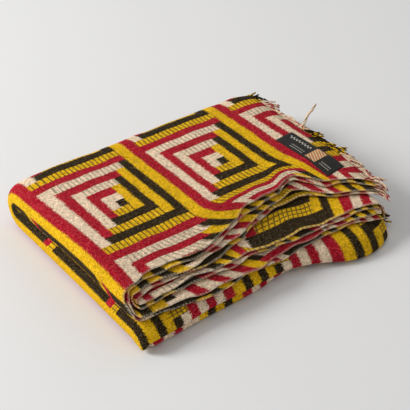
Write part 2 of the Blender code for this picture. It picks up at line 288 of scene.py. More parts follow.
def stack_point(path, off, part, amount, past, waviness=0.0):
    """Points of the stack. path holds x, level and the normal's x and h of places of the warp
    path, off the distance along the normal, part 0 upper, 1 back or 2 lower, amount the distance
    from the last fold or the angle round it, and past what runs on beyond the front fold."""
    path_x, level, normal_x, normal_h = path
    x = path_x + off * normal_x
    h = level + off * normal_h
    side = np.where(part == 0, 1.0, -1.0)
    round_y = MM * hermite("round", x)
    straight = BACK_Y - round_y
    radius = BUNDLE + side * h
    bent = np.maximum(amount - straight, 0.0)
    bends = (bent > 0) | (past > 0)
    turn = bent / (BUNDLE + side * level)
    y_round = round_y - radius * np.sin(turn) - past * np.cos(turn)
    z_round = radius * np.cos(turn) - past * np.sin(turn)
    y = np.where(bends, y_round, BACK_Y - amount)
    z = np.where(bends, z_round, BUNDLE + side * h)
    y = np.where(part == 1, BACK_Y + h * np.cos(amount), y)
    z = np.where(part == 1, BUNDLE + h * np.sin(amount), z)
    return settle(x, y, z, waviness)


def run_places(start, end, every):
    """Even places along a run, without its end."""
    count = max(2, round(abs(end - start) / every))
    return start + (end - start) * np.arange(count) / count


def outer_loop(angle):
    """A place of the loop round the folded end, rounder above and squarer by the crease."""
    c, s = math.cos(angle), math.sin(angle)
    power = LOOP_POWERS[0] if s > 0 else LOOP_POWERS[1]
    x, h = abs(c) ** (2 / power), math.copysign(abs(s) ** (2 / power), s)
    normal = Vector((-x ** (power - 1), math.copysign(abs(h) ** (power - 1), h))).normalized()
    return FOLD_X - LOOP_OUTER * x, LOOP_H + LOOP_OUTER * h, normal.x, normal.y


def warp_path():
    """The path of the double layer along the rug: x, level, normal and the repeat there."""
    rows = []
    for x in run_places(FIRST_END_X, FOLD_X, TOP_ROWS):
        rows.append((x, LEVEL["a"], 0.0, 1.0, x / REPEAT_WARP))
    at = FOLD_X / REPEAT_WARP
    for turn in math.pi * np.arange(LOOP_STEPS) / LOOP_STEPS:
        rows.append((*outer_loop(math.pi / 2 + turn), at - LOOP_TRUE * turn / REPEAT_WARP))
    at -= LOOP_TRUE * math.pi / REPEAT_WARP
    for x in run_places(FOLD_X, MIDDLE_X, INNER_ROWS):
        rows.append((x, LEVEL["b"], 0.0, -1.0, at - (x - FOLD_X) / REPEAT_WARP))
    at -= (MIDDLE_X - FOLD_X) / REPEAT_WARP
    for turn in math.pi * np.arange(HAIRPIN_STEPS) / HAIRPIN_STEPS:
        c, s = math.cos(turn - math.pi / 2), math.sin(turn - math.pi / 2)
        rows.append((MIDDLE_X + PITCH * c, MIDDLE_H + PITCH * s, c, s,
                     at - PITCH * turn / REPEAT_WARP))
    at -= PITCH * math.pi / REPEAT_WARP
    for x in run_places(MIDDLE_X, FOLD_X, INNER_ROWS):
        rows.append((x, LEVEL["c"], 0.0, 1.0, at - (MIDDLE_X - x) / REPEAT_WARP))
    at -= (MIDDLE_X - FOLD_X) / REPEAT_WARP
    inner_length = LOOP_INNER * math.pi + INNER_SLIP
    for share in np.arange(HAIRPIN_STEPS) / HAIRPIN_STEPS:
        angle = math.pi * (1.5 - share)
        c, s = math.cos(angle), math.sin(angle)
        rows.append((FOLD_X + LOOP_INNER * c, LOOP_H + LOOP_INNER * s, -c, -s,
                     at - inner_length * share / REPEAT_WARP))
    at -= inner_length / REPEAT_WARP
    for x in np.append(run_places(FOLD_X, LAST_END_X, INNER_ROWS), LAST_END_X):
        rows.append((x, LEVEL["d"], 0.0, -1.0, at - (x - FOLD_X) / REPEAT_WARP))
    return np.array(rows).T


def bareness(x, level):
    """How far the layers above are drawn back from the upper ply of the third run."""
    run = np.clip((level - LEVEL["b"]) / (LEVEL["c"] - LEVEL["b"]), 0.0, 1.0)
    return ease((x - BARED_X) / BARED_OVER) * run * (level < LEVEL["c"] + SAME_LEVEL)


def bared_edge(path_x, level, ply):
    """How far the layers above are drawn back from a ply, and where its edge cuts the repeats."""
    if ply > 0:
        return bareness(path_x, level), BARED_AT - BARED_JOG * ease((path_x - JOG_X) / BARED_OVER)
    bare = (np.isclose(level, LEVEL["b"], atol=SAME_LEVEL)
            * ease((path_x - LOWER_START) / LOWER_START_OVER))
    return bare * ease((LOWER_END - path_x) / LOWER_END_OVER), np.full_like(path_x, LOWER_AT)


def ply_grid(path, warp, wobble, ply, first, phase):
    """Part, amount, repeat and distance from the selvage across one ply, from its selvage to the
    front fold, at each place of the warp path."""
    path_x, level, _, normal_h = path
    own = level + ply * PLY * normal_h
    lag = EDGE_LAG * ply * normal_h
    sway = wobble * (np.sin(2 * math.pi * warp / 0.155 + phase + 9 * own / BUNDLE)
                     + 0.7 * np.sin(2 * math.pi * warp / 0.093 + 2 * phase)
                     + 0.5 * np.sin(2 * math.pi * warp / 0.047 + 3 * phase))
    reach = (BACK_Y - open_edge(path_x, level) - lag + sway)[:, None]
    upper = reach * (1 - UPPER_SHARES)
    back = np.repeat(BACK_ANGLES[None, :], len(path_x), axis=0)
    straight = (BACK_Y - MM * hermite("round", path_x))[:, None]
    bend = (fold_turn(path_x, level) * (BUNDLE - level))[:, None]
    below = np.concatenate([straight * LOWER_SHARES, straight + bend * BEND_SHARES], axis=1)
    amount = np.concatenate([upper, back, below], axis=1)
    part = np.repeat([0.0, 1.0, 2.0], [upper.shape[1], back.shape[1], below.shape[1]])

    step = ply / REPEAT_WEFT
    usual = BACK_Y + REPEAT_WEFT * SELVAGE_AT + (LEVEL["a"] - level) * math.pi / 2
    lattice = first - (usual[:, None] - upper) * step
    on_top = lattice + (SELVAGE_PULL * (first - lattice[:, :1])
                        * np.exp(-((reach - upper) / SELVAGE_PULL_OVER) ** 2))
    bare, bared_at = bared_edge(path_x, level, ply)
    bared = bared_at[:, None] - BARED_SPREAD * (reach - upper) * step
    on_top = on_top + bare[:, None] * ease((upper - 0.10) / 0.10) * (bared - on_top)
    on_back = on_top[:, -1:] - (math.pi / 2 - back) * level[:, None] * step
    whole = straight + bend + math.pi * PLY / 2
    on_floor = on_back[:, -1:] + (FRONT_FOLD_AT - on_back[:, -1:]) * below / whole
    weft = np.concatenate([on_top, on_back, on_floor], axis=1)
    away = np.full_like(weft, INSIDE)
    away[:, :upper.shape[1]] = reach * UPPER_SHARES
    return part, amount, weft, away


def weft_grid(path, warp, wobble):
    """Where the weft of the cloth lies at each place of the warp path, from selvage to selvage.
    Gives part, amount, the share of the normal, the share past the front fold, the repeat and
    the distance from the nearer selvage."""
    part_1, amount_1, weft_1, away_1 = ply_grid(path, warp, wobble, 1.0, SELVAGE_AT, 0.0)
    part_2, amount_2, weft_2, away_2 = ply_grid(path, warp, wobble, -1.0, OTHER_SELVAGE_AT, 2.1)
    turns = len(HAIRPIN_ANGLES)
    part = np.concatenate([part_1, np.full(turns, 2.0), part_2[::-1]])
    amount = np.concatenate([amount_1, np.repeat(amount_1[:, -1:], turns, axis=1),
                             amount_2[:, ::-1]], axis=1)
    lean = np.concatenate([np.ones(len(part_1)), np.cos(HAIRPIN_ANGLES), -np.ones(len(part_2))])
    past = np.concatenate([np.zeros(len(part_1)), np.sin(HAIRPIN_ANGLES), np.zeros(len(part_2))])
    share = HAIRPIN_ANGLES / math.pi
    bridge = weft_1[:, -1:] + (weft_2[:, -1:] - weft_1[:, -1:]) * share
    weft = np.concatenate([weft_1, bridge, weft_2[:, ::-1]], axis=1)
    away = np.concatenate([away_1, np.full_like(bridge, INSIDE), away_2[:, ::-1]], axis=1)
    return part, amount, lean, past, weft, away


def drag(path, part, amount, away, lean):
    """How far the yarns are pulled along the rug, in repeats: near the selvages, over the front
    of each layer, on the bared layer and round the folded end."""
    path_x, level = path[0][:, None], path[1][:, None]
    forward = np.where(part == 0, amount - BACK_Y, 0.0)
    bare = bareness(path_x, level) * (lean > 0) * (away < INSIDE / 2)
    near = np.interp(path_x, *NEAR_DRAG) * np.clip(1 - away / 0.048, 0.0, 1.0) ** 1.4
    broad = np.interp(path_x, *BROAD_DRAG) * ease((forward - 0.11) / 0.13)
    slant = np.interp(path_x, *BARED_DRAG) * (0.020 + 0.50 * np.minimum(away, 0.06))
    dragged = (near + broad) * (1 - bare) + slant * bare
    back_run = (level < (LEVEL["b"] + LEVEL["c"]) / 2) | (abs(level - LEVEL["d"]) < PLY)
    pulled = np.where(back_run, 1.0, -1.0) * dragged
    share = np.clip((level - LEVEL["b"]) / (LEVEL["a"] - LEVEL["b"]), 0.0, 1.0)
    above = (share * np.interp(forward, [0.02, 0.12, 0.22], [0.008, 0.004, 0.0])
             - 0.008 * (1 - share))
    below = 0.0025 + 0.0075 * share
    round_back = np.where(part == 1, 0.5 - amount / math.pi, part / 2)
    slack = ease((0.045 - path_x) / 0.035)
    return (pulled + slack * (above + (below - above) * round_back)) / REPEAT_WARP


def new_piece(name, points, faces, attributes):
    """A smooth piece from points in the fold's own frame, with a number at each for its look."""
    mesh = bpy.data.meshes.new(name)
    mesh.from_pydata((points + np.array(SHIFT)).tolist(), [], faces)
    for key, values in attributes.items():
        layer = mesh.attributes.new(key, "FLOAT", "POINT")
        layer.data.foreach_set("value", np.ascontiguousarray(values, dtype=np.float32).ravel())
    mesh.validate()
    mesh.update()
    mesh.shade_smooth()
    thing = bpy.data.objects.new(name, mesh)
    bpy.context.scene.collection.objects.link(thing)
    return thing


def tube_quads(index):
    """The quads between rings of point numbers, each ring closed."""
    after = np.roll(index, -1, axis=1)
    return np.stack([index[:-1], after[:-1], after[1:], index[1:]], axis=-1).reshape(-1, 4)


def piece_from_rings(name, rings, attributes):
    """A piece that is one flat tube of rings of points, capped with quads at both ends."""
    count, around = rings.shape[:2]
    index = np.arange(count * around).reshape(count, around)
    caps = []
    for ring, flip in ((index[0], False), (index[-1], True)):
        for k in range(around // 2 - 1):
            quad = [ring[k], ring[k + 1], ring[around - 2 - k], ring[around - 1 - k]]
            caps.append(quad if flip else quad[::-1])
    faces = np.concatenate([tube_quads(index), np.array(caps)])
    return new_piece(name, rings.reshape(-1, 3), faces.tolist(), attributes)


def cloth_rings(thickness, waviness):
    """The rings of points round the cloth's section, with the warp, weft and side of each."""
    rows = warp_path()
    path, repeat = rows[:4], rows[4]
    warp = repeat * REPEAT_WARP
    part, amount, lean, past, weft, away = weft_grid(path, warp, SWAY)
    half = thickness / 2
    columns = len(part)
    rim = np.radians([22.5, 67.5, 112.5, 157.5])
    face = [(j, half, 0.0, 1.0) for j in range(columns)]
    end = [(columns - 1, half * math.cos(a), half * math.sin(a), 0.5 + 0.5 * math.cos(a))
           for a in rim]
    back = [(j, -half, 0.0, 0.0) for j in range(columns - 1, -1, -1)]
    start = [(0, -half * math.cos(a), half * math.sin(a), 0.5 - 0.5 * math.cos(a)) for a in rim]
    ring = face + end + back + start
    j = np.array([r[0] for r in ring])
    depth, beyond, side = (np.array([r[i] for r in ring]) for i in (1, 2, 3))
    spread = [p[:, None] for p in path]
    rim_near = ease(1 - away[:, j] / RIM_WIDTH)
    which = path[1][:, None] / BUNDLE * 5 + lean[j][None, :]
    ripple = (np.sin(2 * math.pi * warp / 0.036 + 4 * path[1] / PITCH)[:, None] * np.sin(which)
              + np.sin(2 * math.pi * warp / 0.023)[:, None] * np.cos(which))
    depth = depth[None, :] * (1 - RIM_THIN * rim_near) + RIM_RIPPLE * ripple * rim_near
    rolled = 0.55 + 0.45 * np.sin(which * 1.7 + 2 * math.pi * warp[:, None] / 0.061)
    curl = RIM_CURL * rim_near ** 1.5 * rolled
    across = (PLY + depth) * lean[j][None, :] + curl * path[3][:, None]
    where = stack_point(spread, across, part[j][None, :], amount[:, j] + beyond[None, :],
                        (PLY + depth) * past[j][None, :], waviness)
    shown = repeat[:, None] + drag(path, part[None, :], amount, away, lean[None, :])
    return where, {"warp": shown[:, j], "weft": weft[:, j],
                   "side": np.repeat(side[None, :], len(repeat), axis=0),
                   "edge": np.minimum(away[:, j] + 0.002 * (beyond == 0)[None, :], 0.05)}


class Graph:
    """Adds nodes to a node tree, one call for each, and gives back their first output."""

    def __init__(self, tree):
        self.tree = tree

    def feed(self, socket, value):
        """Links an input to a socket, or sets it to a value."""
        if isinstance(value, bpy.types.NodeSocket):
            self.tree.links.new(value, socket)
        else:
            socket.default_value = value

    def add(self, kind, *inputs, **settings):
        """A node with its inputs in order, each a socket or a value."""
        node = self.tree.nodes.new(kind)
        for key, value in settings.items():
            setattr(node, key, value)
        for socket, value in zip([s for s in node.inputs if s.enabled], inputs):
            self.feed(socket, value)
        return node

    def math(self, operation, *values):
        """The result of a Math node."""
        return self.add("ShaderNodeMath", *values, operation=operation).outputs[0]

    def mix(self, share, one, two):
        """A colour between two colours."""
        node = self.add("ShaderNodeMix", data_type="RGBA")
        for name, value in (("Factor_Float", share), ("A_Color", one), ("B_Color", two)):
            self.feed(next(s for s in node.inputs if s.identifier == name), value)
        return next(s for s in node.outputs if s.identifier == "Result_Color")

    def noise(self, place, scale, detail=2.0, roughness=0.5):
        """The value of a Noise texture at a place."""
        node = self.add("ShaderNodeTexNoise", noise_dimensions="3D")
        for name, value in (("Vector", place), ("Scale", scale), ("Detail", detail),
                            ("Roughness", roughness)):
            self.feed(node.inputs[name], value)
        return node.outputs["Fac"]

    def attribute(self, name):
        """The value of a mesh attribute."""
        return self.add("ShaderNodeAttribute", attribute_name=name).outputs["Fac"]


def colour(rgb):
    """A colour with full alpha."""
    return (rgb[0], rgb[1], rgb[2], 1.0)


def new_group(name, inputs, outputs):
    """A shader node group with named sockets, and its graph, input node and output node."""
    tree = bpy.data.node_groups.new(name, "ShaderNodeTree")
    for key, kind, value in inputs:
        socket = tree.interface.new_socket(name=key, in_out="INPUT", socket_type=kind)
        if value is not None:
            socket.default_value = value
    for key, kind in outputs:
        tree.interface.new_socket(name=key, in_out="OUTPUT", socket_type=kind)
    graph = Graph(tree)
    return graph, graph.add("NodeGroupInput").outputs, graph.add("NodeGroupOutput").inputs, tree


def nested_squares_group():
    """The pattern: rings of bands round each repeat, red and cream above and to one side,
    yellow and black below and to the other, and the colours changed over on the reverse."""
    graph, given, made, tree = new_group(
        "nested_squares",
        [("Warp", "NodeSocketFloat", 0.0), ("Weft", "NodeSocketFloat", 0.0),
         ("Side", "NodeSocketFloat", 1.0), ("Stray", "NodeSocketFloat", 0.0),
         ("Red", "NodeSocketColor", None), ("Cream", "NodeSocketColor", None),
         ("Yellow", "NodeSocketColor", None), ("Black", "NodeSocketColor", None)],
        [("Color", "NodeSocketColor"), ("Tick", "NodeSocketFloat")])
    m = graph.math

    def rings_in(value, outer, rings):
        """How many rings a value lies in from the outermost one, and its share of the repeat."""
        share = m("FRACT", value)
        near = m("MINIMUM", share, m("SUBTRACT", 1.0, share))
        return m("DIVIDE", m("SUBTRACT", near, outer), (0.5 - outer) / rings), share

    def ring_of(value, outer):
        """The number of the ring that a value lies in, and whether that is past the middle."""
        inner, share = rings_in(value, outer, RINGS)
        return m("ADD", m("FLOOR", m("MAXIMUM", inner, -1.0)), 1.0), m("GREATER_THAN", share, 0.5)

    warp = m("ADD", given["Warp"], given["Stray"])
    weft = m("ADD", given["Weft"], m("MULTIPLY", given["Stray"], 0.22))
    ring_u, far_u = ring_of(warp, OUTER_ROW)
    ring_v, far_v = ring_of(weft, OUTER_COLUMN)
    is_row = m("GREATER_THAN", ring_u, ring_v)
    ring = m("MINIMUM", ring_u, ring_v)
    odd = m("FLOORED_MODULO", ring, 2.0)
    far_column = m("MULTIPLY", far_u, m("SUBTRACT", 1.0, is_row))
    far = m("ADD", far_column, m("MULTIPLY", far_v, is_row))
    middle = m("GREATER_THAN", ring, RINGS - 0.5)
    corner = m("MULTIPLY", far_u, far_v)
    far = m("ADD", m("MULTIPLY", far, m("SUBTRACT", 1.0, middle)), m("MULTIPLY", corner, middle))
    reverse = m("LESS_THAN", given["Side"], 0.5)
    shown = m("ABSOLUTE", m("SUBTRACT", far, reverse))
    first = graph.mix(odd, given["Red"], given["Cream"])
    second = graph.mix(odd, given["Yellow"], given["Black"])
    base = graph.mix(shown, first, second)
    light = m("ABSOLUTE", m("SUBTRACT", shown, odd))
    picks = m("PINGPONG", m("MULTIPLY", given["Warp"], REPEAT_WARP / WEAVE_TICK), 0.5)
    picks = m("ADD", picks, m("MULTIPLY", given["Stray"], 1.2))
    tick = graph.add("ShaderNodeMapRange", picks, 0.07, 0.19, 1.0, 0.0).outputs[0]
    third, _ = rings_in(given["Weft"], OUTER_COLUMN, 3 * RINGS)
    cross = graph.add("ShaderNodeMapRange", m("PINGPONG", third, 0.5), 0.07, 0.20, 1.0, 0.0)
    under = m("MAXIMUM", m("LESS_THAN", given["Weft"], -1.5), m("LESS_THAN", given["Warp"], -0.3))
    cross = m("MULTIPLY", m("MULTIPLY", cross.outputs[0], under), shown)
    tick = m("MAXIMUM", tick, cross)
    tick = m("MULTIPLY", m("MULTIPLY", tick, is_row), light)
    tick = m("MULTIPLY", tick, m("ADD", 0.6, m("MULTIPLY", shown, 0.4)))
    tree.links.new(base, made["Color"])
    tree.links.new(tick, made["Tick"])
    return tree


def brushed_wool_group():
    """Brushed wool: a colour made uneven by its fibres, and a height for its nap."""
    graph, given, made, tree = new_group(
        "brushed_wool",
        [("Color", "NodeSocketColor", None), ("Contrast", "NodeSocketFloat", 0.5)],
        [("Color", "NodeSocketColor"), ("Height", "NodeSocketFloat")])
    m = graph.math
    place = graph.add("ShaderNodeTexCoord").outputs["Object"]
    fine = graph.noise(place, 1500.0, 3.0, 0.6)
    middle = graph.noise(place, 620.0, 2.0, 0.6)
    coarse = graph.noise(place, 260.0, 3.0, 0.6)
    broad = graph.noise(place, 40.0, 2.0)
    fibre = m("ADD", m("MULTIPLY", fine, 0.35), m("MULTIPLY", middle, 0.4))
    fibre = m("ADD", fibre, m("MULTIPLY", coarse, 0.25))
    swing = m("MULTIPLY", m("SUBTRACT", fibre, 0.5), given["Contrast"])
    swing = m("ADD", swing, m("MULTIPLY", m("SUBTRACT", broad, 0.5), 0.16))
    value = m("ADD", 1.0, m("MULTIPLY", swing, 2.0))
    tint = graph.add("ShaderNodeHueSaturation")
    tree.links.new(given["Color"], tint.inputs["Color"])
    tree.links.new(value, tint.inputs["Value"])
    strays = graph.add("ShaderNodeMapRange", middle, 0.52, 0.70, 0.0, 0.065).outputs[0]
    strays = m("MULTIPLY", strays, given["Contrast"])
    fuzzy = graph.mix(strays, tint.outputs["Color"], colour((0.60, 0.50, 0.32)))
    tree.links.new(fuzzy, made["Color"])
    tree.links.new(fibre, made["Height"])
    return tree


def group_node(graph, tree, **inputs):
    """A group placed in a material."""
    node = graph.add("ShaderNodeGroup", node_tree=tree)
    for key, value in inputs.items():
        graph.feed(node.inputs[key], value)
    return node.outputs


def new_material(name, roughness, gloss=0.08):
    """A material with its Principled shader, and the graph of its tree."""
    look = bpy.data.materials.new(name)
    look.use_nodes = True
    shader = look.node_tree.nodes["Principled BSDF"]
    shader.inputs["Roughness"].default_value = roughness
    shader.inputs["Specular IOR Level"].default_value = gloss
    return look, shader, Graph(look.node_tree)


def bump(graph, shader, height, distance):
    """Feeds a height to a shader's normal."""
    node = graph.add("ShaderNodeBump")
    node.inputs["Strength"].default_value = 1.0
    node.inputs["Distance"].default_value = distance
    graph.tree.links.new(height, node.inputs["Height"])
    graph.tree.links.new(node.outputs["Normal"], shader.inputs["Normal"])


def brushed(graph, shader, base, contrast):
    """Brushes a colour, feeds it to a shader, and gives back the height of the nap."""
    wool = group_node(graph, bpy.data.node_groups["brushed_wool"], Color=base, Contrast=contrast)
    graph.tree.links.new(wool["Color"], shader.inputs["Base Color"])
    return wool["Height"]


def cloth_material(settings):
    """The patterned wool of the cloth."""
    look, shader, graph = new_material("rug_wool", 0.95)
    m = graph.math
    warp, weft = graph.attribute("warp"), graph.attribute("weft")
    side, edge = graph.attribute("side"), graph.attribute("edge")
    place = graph.add("ShaderNodeCombineXYZ", m("MULTIPLY", warp, 30.0),
                      m("MULTIPLY", weft, 170.0), m("MULTIPLY", side, 9.0)).outputs[0]
    stray = m("MULTIPLY", m("SUBTRACT", graph.noise(place, 1.0, 3.0, 0.7), 0.5), 0.090)
    squares = group_node(graph, bpy.data.node_groups["nested_squares"], Warp=warp, Weft=weft,
                         Side=side, Stray=stray, Red=colour(settings.red),
                         Cream=colour(settings.cream), Yellow=colour(settings.yellow),
                         Black=colour(settings.black))
    shade = graph.mix(0.80, squares["Color"], colour((0.03, 0.022, 0.01)))
    inked = graph.mix(squares["Tick"], squares["Color"], shade)
    beads = m("PINGPONG", m("ADD", m("MULTIPLY", warp, REPEAT_WARP / RIM_BEAD),
                            m("MULTIPLY", stray, 30.0)), 0.5)
    beads = graph.add("ShaderNodeMapRange", beads, 0.10, 0.28, 0.62, 0.0).outputs[0]
    on_rim = graph.add("ShaderNodeMapRange", edge, 0.0004, 0.0032, 1.0, 0.0).outputs[0]
    inked = graph.mix(m("MULTIPLY", beads, on_rim), inked, colour((0.80, 0.73, 0.57)))
    nap = brushed(graph, shader, inked, 2.8)
    bump(graph, shader, m("SUBTRACT", nap, m("MULTIPLY", squares["Tick"], 0.5)), 0.0012)
    return look


def strand_material(settings):
    """The twisted yarns of the fringe, each in the colour that its place in the cloth gives."""
    look, shader, graph = new_material("fringe_wool", 0.95)
    ramp = graph.add("ShaderNodeValToRGB", graph.attribute("yarn"))
    ramp.color_ramp.interpolation = "CONSTANT"
    stops = ramp.color_ramp.elements
    stops[0].color = colour(settings.cream)
    stops[1].position, stops[1].color = 0.25, colour(settings.red)
    for position, tint in ((0.5, settings.black), (0.75, settings.yellow)):
        stop = stops.new(position)
        stop.color = colour(tint)
    bump(graph, shader, brushed(graph, shader, ramp.outputs["Color"], 1.2), 0.0006)
    return look


def label_material(settings):
    """The woven ribbon: a black ground with plain cream and orange bands, at shares of its
    length, along, and width, across."""
    look, shader, graph = new_material("label_ribbon", 0.6, 0.25)
    m = graph.math
    along, across = graph.attribute("along"), graph.attribute("across")

    def between(value, low, high):
        """1 where a value lies between two others."""
        return m("MULTIPLY", m("GREATER_THAN", value, low), m("LESS_THAN", value, high))

    patch = m("MULTIPLY", between(along, 0.53, 0.71), between(across, 0.10, 0.92))
    slant = m("FRACT", m("ADD", m("MULTIPLY", across, 7.0), m("MULTIPLY", along, 13.0)))
    stripes = graph.mix(m("LESS_THAN", slant, 0.5), colour(settings.figure),
                        colour(settings.accent))
    tooth = m("MULTIPLY", m("PINGPONG", m("MULTIPLY", along, 19.0), 0.5), 0.30)
    off = m("ABSOLUTE", m("SUBTRACT", m("SUBTRACT", across, 0.62), tooth))
    zigzag = m("MULTIPLY", m("LESS_THAN", off, 0.030), between(along, 0.07, 0.47))
    dashes = m("LESS_THAN", m("FRACT", m("MULTIPLY", along, 34.0)), 0.62)
    lines = m("ADD", between(across, 0.14, 0.185), between(across, 0.28, 0.325))
    lines = m("MULTIPLY", m("MULTIPLY", lines, dashes), between(along, 0.22, 0.46))
    rest = m("ADD", between(across, 0.22, 0.265), between(across, 0.36, 0.405))
    rest = m("MULTIPLY", m("MULTIPLY", rest, dashes), between(along, 0.76, 0.93))
    woven = m("MAXIMUM", zigzag, m("MULTIPLY", m("MAXIMUM", lines, rest), 0.7))
    base = graph.mix(patch, colour(settings.ground), stripes)
    base = graph.mix(woven, base, colour((0.70, 0.66, 0.55)))
    threads = m("SINE", m("MULTIPLY", along, 900.0))
    wale = m("SINE", m("MULTIPLY", across, 300.0))
    brushed(graph, shader, base, 0.6)
    bump(graph, shader, m("MULTIPLY", m("ADD", threads, wale), 0.25), 0.0003)
    return look


def finished(thing, look, slot_name, *nodes):
    """Gives a piece its material, lets it ride on the rug and stand for its solids."""
    thing.data.materials.append(look)
    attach(thing, "root")
    if nodes:
        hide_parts(*nodes)


class RUG_OT_groups(bpy.types.Operator):
    """Make the shared effects of pattern and wool"""
    bl_idname = "rug.groups"
    bl_label = "Shared Effects"

    def execute(self, context):
        nested_squares_group()
        brushed_wool_group()
        return {"FINISHED"}


class RUG_OT_cloth(bpy.types.Operator):
    """Make the folded cloth"""
    bl_idname = "rug.cloth"
    bl_label = "Folded Cloth"

    def execute(self, context):
        settings = context.scene.rug_cloth_settings
        rings, attributes = cloth_rings(settings.thickness, settings.unrest)
        thing = piece_from_rings("cloth", rings, attributes)
        finished(thing, cloth_material(settings), "rug_wool", "rug_cloth")
        return {"FINISHED"}


def fringe_roots(path_row, repeat, settings, rng):
    """Where the strands of one end leave the cloth: places, repeats, parts and sides."""
    path = [np.array([value]) for value in path_row]
    part, amount, lean, past, weft, _ = weft_grid(path, np.array([repeat * REPEAT_WARP]), SWAY)
    points = stack_point([p[:, None] for p in path], (PLY * lean)[None, :], part[None, :], amount,
                         (PLY * past)[None, :], 0.0)[0]
    steps = np.linalg.norm(np.diff(points, axis=0), axis=1)
    far = np.concatenate([[0.0], np.cumsum(steps)])
    count = int(far[-1] / settings.every)
    at = (np.arange(count) + 0.5 + rng.uniform(-0.3, 0.3, count)) * far[-1] / count
    columns = (*points.T, weft[0], part, lean)
    return np.array([np.interp(at, far, column) for column in columns]).T


def strand_tubes(line, radii, lay, turns, phase, sides=5):
    """Two yarns twisted round a line, as rings of points."""
    tangent = np.gradient(line, axis=0)
    tangent /= np.linalg.norm(tangent, axis=1)[:, None]
    across = np.cross(tangent, np.array([0.3, 1.0, 0.2]))
    across /= np.linalg.norm(across, axis=1)[:, None]
    up = np.cross(tangent, across)
    share = np.linspace(0, 1, len(line))[:, None]
    tubes = []
    for radius, yarn in zip(radii, (0.0, math.pi)):
        angle = phase + yarn + turns * 2 * math.pi * share
        middle = line + lay * (np.cos(angle) * across + np.sin(angle) * up)
        ring = np.linspace(0, 2 * math.pi, sides, endpoint=False)
        round_it = (np.cos(ring)[None, :, None] * across[:, None, :]
                    + np.sin(ring)[None, :, None] * up[:, None, :])
        thick = radius * np.clip(np.minimum(1.0, (1.03 - share) * 9), 0.35, 1.0)
        tubes.append(middle[:, None, :] + thick[:, :, None] * round_it)
    return tubes


def hanging_line(root, reach, heading, first, last, floor, steps=9):
    """The line of a strand: it leaves the cloth on a heading, bends from its first slope to its
    last, and comes to rest on the floor."""
    share = np.linspace(0, 1, steps)
    slope = first + (last - first) * share ** 0.8
    step = reach / (steps - 1)
    flat = np.concatenate([[0], np.cumsum(np.cos(slope[:-1]) * step)])
    fall = np.concatenate([[0], np.cumsum(np.sin(slope[:-1]) * step)])
    turn = heading * (0.55 + 0.45 * share)
    line = root[None, :] + np.stack([flat * np.cos(turn), -flat * np.sin(turn), -fall], axis=1)
    line[:, 2] = np.maximum(line[:, 2], floor)
    return line


def strand_lie(rng, part, lean, height, sway):
    """Heading and slopes of a strand: combed along the edge and down above, freer below."""
    if part < 0.5:
        outer = lean > 0
        heading = rng.normal(52 if outer else 40, 12) + 20 * sway
        first, last = rng.uniform(-14, 8), rng.uniform(5, 45) if outer else rng.uniform(25, 75)
    else:
        heading = rng.normal(0, 16) + 14 * sway
        first, last = rng.uniform(0, 14), rng.uniform(15, 60) * min(1.0, height / 0.04)
    return np.radians([heading, first, last])


def fringe_mesh(name, path_row, repeat, settings):
    """All strands of one end of the rug, as one mesh."""
    rng = np.random.default_rng(settings.seed + int(abs(repeat)))
    radius, lay = settings.yarn / 2, settings.yarn * 0.42
    points, faces, yarns = [], [], []
    base = 0

    def add_strand(line, thick, kinds):
        """Two twisted yarns along a line, each with its thickness and colour."""
        nonlocal base
        tubes = strand_tubes(line, thick, lay, rng.uniform(1.6, 2.6), rng.uniform(0, 6.28))
        for tube, kind in zip(tubes, kinds):
            count, sides = tube.shape[:2]
            index = base + np.arange(count * sides).reshape(count, sides)
            faces.extend(tube_quads(index).tolist())
            faces.extend([index[0][::-1].tolist(), index[-1].tolist()])
            points.append(tube.reshape(-1, 3))
            yarns.append(np.full(count * sides, kind))
            base += count * sides

    for *root, at, part, lean in fringe_roots(path_row, repeat, settings, rng):
        root = np.array(root) + np.array([0.0002, 0.0, 0.0])
        sway = math.sin(root[1] / 0.021) * math.sin(root[1] / 0.013 + 1.0)
        heading, first, last = strand_lie(rng, part, lean, root[2], sway)
        line = hanging_line(root, settings.length * rng.uniform(0.75, 1.12), heading, first, last,
                            settings.yarn)
        pale = (at + 0.05) % 1.0 < 0.55
        own, other = (CREAM_YARN, RED_YARN) if pale else (BLACK_YARN, YELLOW_YARN)
        add_strand(line, (radius, radius), (own, other if rng.random() < 0.42 else own))
    if path_row[0] == FIRST_END_X:
        start, end = np.array(STRAY_CORD)
        share = np.linspace(0, 1, 14)[:, None]
        bow = np.array([0.0, 0.0, 0.003]) * np.sin(math.pi * share)
        add_strand(start + (end - start) * share + bow, (radius * 2.2, radius * 0.7),
                   (CREAM_YARN, BLACK_YARN))
    return new_piece(name, np.concatenate(points), faces, {"yarn": np.concatenate(yarns)})


class RUG_OT_fringes(bpy.types.Operator):
    """Make the twisted fringe of both ends"""
    bl_idname = "rug.fringes"
    bl_label = "Fringes"

    def execute(self, context):
        scene = context.scene
        look = strand_material(scene.rug_cloth_settings)
        rows = warp_path()
        for end, at in (("first", 0), ("last", -1)):
            row = rows[:, at]
            thing = fringe_mesh(end + "_fringe", row[:4], row[4], scene.rug_fringe_settings)
            nodes = [f"fringe_{end}_{part}" for part in ("top", "back_high", "back_low", "floor")]
            finished(thing, look, "fringe_wool", *nodes)
        return {"FINISHED"}


